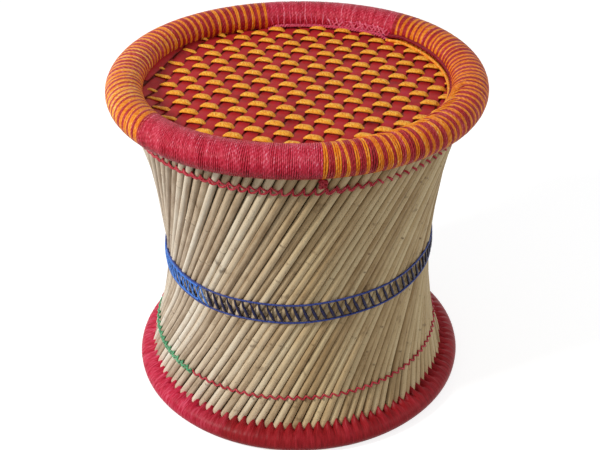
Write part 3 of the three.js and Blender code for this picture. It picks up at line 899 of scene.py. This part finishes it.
# The wrap's section, from under the reeds round the outer bundle, up to the wall and down inside it, as
# (radius, height, how much it is creased, how far it is drawn up between two reeds)
WRAP_SECTION = (
    (0.1780, 0.0012, 0.0, 0.0),
    (0.1850, 0.0004, 0.0, 0.0),
    (0.1925, 0.0002, 0.0, 0.0),
    (0.1985, 0.0008, 0.0, 0.0),
    (0.2030, 0.0032, 0.1, 0.0),
    (0.2056, 0.0070, 0.3, 0.0),
    (0.2060, 0.0112, 0.5, 0.0),
    (0.2048, 0.0156, 0.7, 0.0),
    (0.2022, 0.0188, 0.85, 0.0004),
    (0.1988, 0.0210, 1.0, 0.0006),
    (0.1954, 0.0221, 1.0, 0.0014),
    (0.1924, 0.0222, 1.0, 0.0028),
    (0.1900, 0.0216, 1.0, 0.0052),
    (0.1876, 0.0206, 0.8, 0.0084),
    (0.1852, 0.0196, 0.5, 0.0110),
    (0.1822, 0.0188, 0.0, 0.0112),
    (0.1780, 0.0190, 0.0, 0.0070),
    (0.1730, 0.0188, 0.0, 0.0030),
    (0.1680, 0.0180, 0.0, 0.0010),
    (0.1630, 0.0160, 0.0, 0.0),
    (0.1588, 0.0120, 0.0, 0.0),
    (0.1578, 0.0080, 0.0, 0.0),
    (0.1592, 0.0040, 0.0, 0.0),
    (0.1635, 0.0018, 0.0, 0.0),
    (0.1700, 0.0014, 0.0, 0.0),
)


def add_base_wrap():
    """The ring's smooth wrap: drawn up to a point between each two reeds, and creased at the left."""
    columns = []
    tones = []
    folds = []
    for _ in range(REED_COUNT):
        folds.append((random.uniform(0.2, 1), random.random(), random.uniform(0.72, 1.12)))
    for column in range(REED_COUNT * WRAP_COLUMNS_PER_GAP):
        gap, step = divmod(column, WRAP_COLUMNS_PER_GAP)
        share = step / WRAP_COLUMNS_PER_GAP
        depth, offset, tall = folds[gap]
        angle = reed_angle(gap + share, 0.022)
        peak = tall * (1 - abs(share - 0.5) * 2)
        at_left = smooth_step((-math.cos(angle) - 0.35) / 0.5)
        wider = max(-math.cos(angle), 0)
        ridge = math.sin(FULL_TURN * (share * 2 + offset))
        points = []
        for radius, height, crease, gain in WRAP_SECTION:
            lift = (0.0001 + 0.0004 * at_left * depth) * ridge * crease
            reach = radius + lift + 0.0015 * wider + gain * (0.25 * wider - 0.42 * peak)
            points.append(ring_point(reach, angle, height + gain * peak + lift))
            tones.append(at_left + 0.2 * (depth - 0.6) * crease)
        columns.append(points)
    piece = skin("base_wrap_look", columns, tones, True)
    set_piece(piece, base_crimson, "base_cord", "base_wrap")


add_base_wrap()


# Bands and stitches


def band_height(angle, height):
    """The waist cords run lower at the left than at the right."""
    return height + BAND_TILT * math.cos(angle)


def wall_station(angle, height, lift, width, thickness, tone):
    """A point of a cord on the outside of the wall."""
    place = ring_point(wall_radius(angle, height) + lift, angle, height)
    return place, outwards(angle), width, thickness, tone


def waist_cord(height):
    run = []
    for step in range(420):
        angle = FULL_TURN * step / 420
        level = band_height(angle, height) + 0.0005 * math.sin(angle * 9)
        run.append(wall_station(angle, level, 0.0006, 0.0024, 0.0024, 0.5))
    return run


def crossing_rung(start, upper, aside):
    """A bright strand from the upper waist cord to the lower one, which drifts aside by an angle."""
    run = []
    for step in range(7):
        share = step / 6
        lift = 0.0008 + 0.0016 * math.sin(math.pi * share)
        run.append(wall_station(start + aside * share, upper - 0.0235 * share, lift, 0.0016, 0.0014, 0.8))
    return run


def add_waist_band():
    """Two cords round the waist, with a slanting rung for each gap between the reeds.

    The rungs are dark, and bright blue at the left, where strands cross them and line the two cords."""
    for name, height in (("upper", BAND_UPPER), ("lower", BAND_LOWER)):
        piece = sweep(f"waist_cord_{name}_look", [waist_cord(height)], 6, closed=True)
        set_piece(piece, band_blue, "blue_cord", f"waist_cord_{name}")
    dark_rungs = []
    bright_rungs = []
    turn = FULL_TURN / REED_COUNT
    for k in range(REED_COUNT):
        start = reed_angle(k + 0.4, BAND_UPPER)
        upper = band_height(start, BAND_UPPER)
        bend = random.uniform(0.6, 1.3)
        # The way down, as (share of a gap aside, drop, lift off the wall, width)
        route = (
            (0.0, 0.0006, 0.0002, 0.0018),
            (0.08 * bend, -0.003, 0.0011, 0.0022),
            (0.2 * bend, -0.007, 0.0013, 0.003),
            (0.38, -0.0115, 0.0013, 0.0038),
            (0.55, -0.0156, 0.0013, 0.004),
            (0.7, -0.019, 0.0012, 0.0036),
            (0.8, -0.0213, 0.0005, 0.0028),
            (0.83, -0.0225, -0.0012, 0.0018),
        )
        run = []
        for aside, drop, lift, width in route:
            run.append(wall_station(start + aside * turn, upper + drop, lift, width, width * 0.8, 0.3))
        at_left = BRIGHT_FROM < start % FULL_TURN < BRIGHT_TO
        if at_left:
            bright_rungs.append([(place, outward, 0.0017, 0.0015, 0.5) for place, outward, *_ in run])
            bright_rungs.append(crossing_rung(start, upper, random.uniform(-0.7, -0.2) * turn))
            bright_rungs.append(crossing_rung(start, upper, random.uniform(0.9, 1.3) * turn))
        if not at_left or k % 3 == 0:
            dark_rungs.append(run)
    for height in (BAND_UPPER - 0.0026, BAND_LOWER + 0.0026):
        edge = []
        for step in range(91):
            angle = math.radians(151 + 74 * step / 90)
            edge.append(wall_station(angle, band_height(angle, height), 0.0012, 0.0026, 0.002, 0.3))
        bright_rungs.append(edge)
    piece = sweep("waist_lacing_look", dark_rungs, 6)
    set_piece(piece, band_dark, "blue_cord", "waist_lacing")
    piece = sweep("waist_lacing_left_look", bright_rungs, 6)
    set_piece(piece, bright_blue, "blue_cord")
    inner = []
    for step in range(300):
        angle = FULL_TURN * step / 300
        place = ring_point(INNER_CORD_RADIUS, angle, band_height(angle, BAND_MIDDLE))
        inner.append((place, outwards(angle), 0.0026, 0.0026, 0.4))
    piece = sweep("waist_inner_cord_look", [inner], 6, closed=True)
    set_piece(piece, band_blue, "blue_cord", "waist_inner_cord")


def stitch_run(first, last, height, diameter, shapes, tone):
    """A stitch that crosses each reed from gap to gap, in the shape that its angle asks for."""
    run = []
    for k in range(first, last):
        varied = tone + 0.2 * math.sin(k * 5)
        for share, rise, lift in shapes(reed_angle(k + 1, height) % FULL_TURN):
            level = height + rise
            run.append(wall_station(reed_angle(k + share, level), level, lift, diameter, diameter, varied))
    return run


def gap_index(angle, height):
    """The first gap at or after an angle."""
    turn = math.atan2(OUTER_SLOPE * (height - REED_WAIST), OUTER_MIDDLE)
    return math.ceil((angle - turn) / FULL_TURN * REED_COUNT - 0.5)


# Shapes of a stitch over one reed, as (share of the way to the next, rise, lift off the wall)
SCALLOP = (
    (0.5, 0.0044, -0.0018),
    (0.59, 0.0006, 0.0006),
    (0.76, -0.0026, 0.0012),
    (0.98, -0.0035, 0.0014),
    (1.2, -0.0029, 0.0012),
    (1.38, -0.0004, 0.0006),
)
STRAIGHT = (
    (0.5, 0.0004, -0.0006),
    (0.64, 0.0007, 0.0006),
    (0.84, 0.0002, 0.001),
    (1.06, -0.0006, 0.0011),
    (1.26, -0.0009, 0.0009),
    (1.4, -0.0004, 0.0002),
)
SAW_TOOTH = (
    (0.5, 0.0022, -0.0012),
    (0.64, 0.0018, 0.0008),
    (0.88, 0.0004, 0.0012),
    (1.14, -0.0012, 0.0011),
    (1.36, -0.0024, 0.0004),
    (1.46, -0.001, -0.0012),
)
KNOTTED = (
    (0.5, 0.0028, -0.0008),
    (0.66, 0.001, 0.001),
    (0.85, -0.0022, 0.0014),
    (1.05, -0.0008, 0.0018),
    (1.2, 0.0022, 0.0014),
    (1.36, 0.0004, 0.0008),
)
STROKE = (
    (0.5, 0.0024, -0.0036),
    (0.66, 0.0022, -0.0014),
    (0.86, 0.001, 0.0011),
    (1.1, -0.0012, 0.0012),
    (1.28, -0.0022, 0.0002),
    (1.42, -0.001, -0.0036),
)


def blended(first, second, share):
    """A stitch shape between two others."""
    return [tuple(a + (b - a) * share for a, b in zip(one, other)) for one, other in zip(first, second)]


def upper_shape(angle):
    """Flat at the left, deep scallops across the front and small strokes at the right."""
    scalloped = smooth_step((math.degrees(angle) - 236) / 16)
    stroked = smooth_step((math.degrees(angle) - 281) / 14)
    if angle < math.radians(150):
        scalloped = stroked = 1
    return blended(blended(STRAIGHT, SCALLOP, scalloped), STROKE, stroked)


def lower_shape(angle):
    """Nearly flat at the left and saw-toothed towards the right."""
    return blended(STRAIGHT, SAW_TOOTH, 0.35 + 0.3 * smooth_step((math.degrees(angle) - 235) / 45))


def rim_knot():
    """The red knot that hangs between the rim and the upper stitch."""
    run = []
    for step in range(41):
        turn = FULL_TURN * 3 * step / 40
        level = KNOT_HEIGHT + 0.0042 * math.sin(turn) - 0.0022 * step / 40
        side = KNOT_ANGLE + 0.0035 / RIM_RADIUS * math.cos(turn * 1.3)
        run.append(wall_station(side, level, 0.0016 + 0.0012 * math.cos(turn), 0.0034, 0.0028, 0.1))
    return run


def upper_stretch(start, end, rise, shape, tone):
    """A thinner cord beside the upper stitch, between two angles in degrees."""
    first = gap_index(math.radians(start), UPPER_STITCH)
    last = gap_index(math.radians(end), UPPER_STITCH)
    return stitch_run(first, last, UPPER_STITCH + rise, 0.002, lambda angle: shape, tone)


def add_stitches():
    """The line below the rim, doubled in two stretches, and the line above the base, green at the left."""
    upper = stitch_run(0, REED_COUNT, UPPER_STITCH, STITCH_DIAMETER, upper_shape, 0.4)
    piece = sweep("stitch_upper_look", [upper], 6, closed=True)
    set_piece(piece, stitch_red, "stitch_cord", "stitch_upper")
    second = upper_stretch(170, 262, 0.0024, SAW_TOOTH, 0.6)
    crossed = upper_stretch(278, 293, 0.0008, KNOTTED, 0.4)
    piece = sweep("stitch_upper_second_look", [second, crossed, rim_knot()], 6)
    set_piece(piece, stitch_red, "stitch_cord")
    first = gap_index(GREEN_TO, LOWER_STITCH)
    last = gap_index(GREEN_FROM + FULL_TURN, LOWER_STITCH)
    red = stitch_run(first, last, LOWER_STITCH, STITCH_DIAMETER, lower_shape, 0.4)
    piece = sweep("stitch_lower_red_look", [red], 6)
    set_piece(piece, stitch_red, "stitch_cord", "stitch_lower_red")
    green = [
        stitch_run(last - REED_COUNT, first, LOWER_STITCH, 0.0023, lambda angle: KNOTTED, 0.4),
        stitch_run(last - REED_COUNT, first, LOWER_STITCH - 0.0012, 0.0017, lambda angle: SAW_TOOTH, 0.7),
    ]
    piece = sweep("stitch_lower_green_look", green, 6)
    set_piece(piece, stitch_green, "green_cord", "stitch_lower_green")


add_waist_band()
add_stitches()


# The cores and hoops keep the CAD's own meshes
for node in ("rim_core", "seat_hoop", "base_core", "base_inner_hoop"):
    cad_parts[node].data.materials.clear()
    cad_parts[node].data.materials.append(straw)


# Stage


def lamp(name, place, size, power, colour):
    """A square lamp that faces the stool."""
    light = bpy.data.lights.new(name, "AREA")
    light.size = size
    light.energy = power
    light.color = colour
    holder = bpy.data.objects.new(name, light)
    holder.location = place
    aim = Vector((0, 0, 0.2)) - Vector(place)
    holder.rotation_euler = aim.to_track_quat("-Z", "Y").to_euler()
    bpy.context.scene.collection.objects.link(holder)


def see_through_factor(tree):
    """1 for the camera's rays and for what shows in gloss or glass, and 0 for light on the object."""
    path = tree.nodes.new("ShaderNodeLightPath")
    seen = calculate(tree, "MAXIMUM", path.outputs["Is Camera Ray"], path.outputs["Is Glossy Ray"])
    return calculate(tree, "MAXIMUM", seen, path.outputs["Is Transmission Ray"])


def add_stage():
    world = bpy.data.worlds.new("studio")
    bpy.context.scene.world = world
    world.use_nodes = True
    tree = world.node_tree
    backdrop = tree.nodes["Background"]
    backdrop.inputs["Color"].default_value = (1, 1, 1, 1)
    strength = calculate(tree, "MULTIPLY_ADD", see_through_factor(tree), 0.6, 0.4)
    tree.links.new(strength, backdrop.inputs["Strength"])
    deselect_all()
    bpy.ops.mesh.primitive_plane_add(size=8, location=(0, 0, -0.0005))
    floor = bpy.context.object
    floor.name = "studio_floor"
    bpy.ops.object.transform_apply(location=True)
    finish, tree, shader = new_finish("studio_floor_white", 0.9, 0.1)
    shader.inputs["Base Color"].default_value = (0.45, 0.45, 0.45, 1)
    glow = tree.nodes.new("ShaderNodeEmission")
    lift = calculate(tree, "MULTIPLY", see_through_factor(tree), 0.78)
    tree.links.new(lift, glow.inputs["Strength"])
    both = tree.nodes.new("ShaderNodeAddShader")
    tree.links.new(shader.outputs[0], both.inputs[0])
    tree.links.new(glow.outputs[0], both.inputs[1])
    tree.links.new(both.outputs[0], tree.nodes["Material Output"].inputs["Surface"])
    floor.data.materials.append(finish)
    lamp("key", (-1.9, -0.85, 1.75), 0.45, 46, (1.0, 0.98, 0.95))
    lamp("fill", (1.9, -0.7, 1.1), 1.4, 8, (0.95, 0.98, 1.0))


def add_camera():
    """The photograph's viewpoint: a little above the rim, from the front."""
    distance, height = 1.060613, 0.866519
    pitch, roll, yaw = 0.571, -0.008, 0.002
    focal_pixels, picture_pixels = 1020.06, 600
    ahead = Vector((math.sin(yaw) * math.cos(pitch), math.cos(yaw) * math.cos(pitch), -math.sin(pitch)))
    right = Vector((math.cos(yaw), -math.sin(yaw), 0))
    above = right.cross(ahead)
    tilted_right = right * math.cos(roll) + above * math.sin(roll)
    tilted_above = above * math.cos(roll) - right * math.sin(roll)
    camera = bpy.data.cameras.new("camera")
    camera.sensor_width = 36
    camera.lens = focal_pixels / picture_pixels * camera.sensor_width
    holder = bpy.data.objects.new("camera", camera)
    turn = Matrix((tilted_right, tilted_above, -ahead)).transposed().to_4x4()
    holder.matrix_world = Matrix.Translation((0, -distance, height)) @ turn
    bpy.context.scene.collection.objects.link(holder)
    bpy.context.scene.camera = holder


add_stage()
add_camera()
bpy.context.scene.view_settings.view_transform = "Standard"
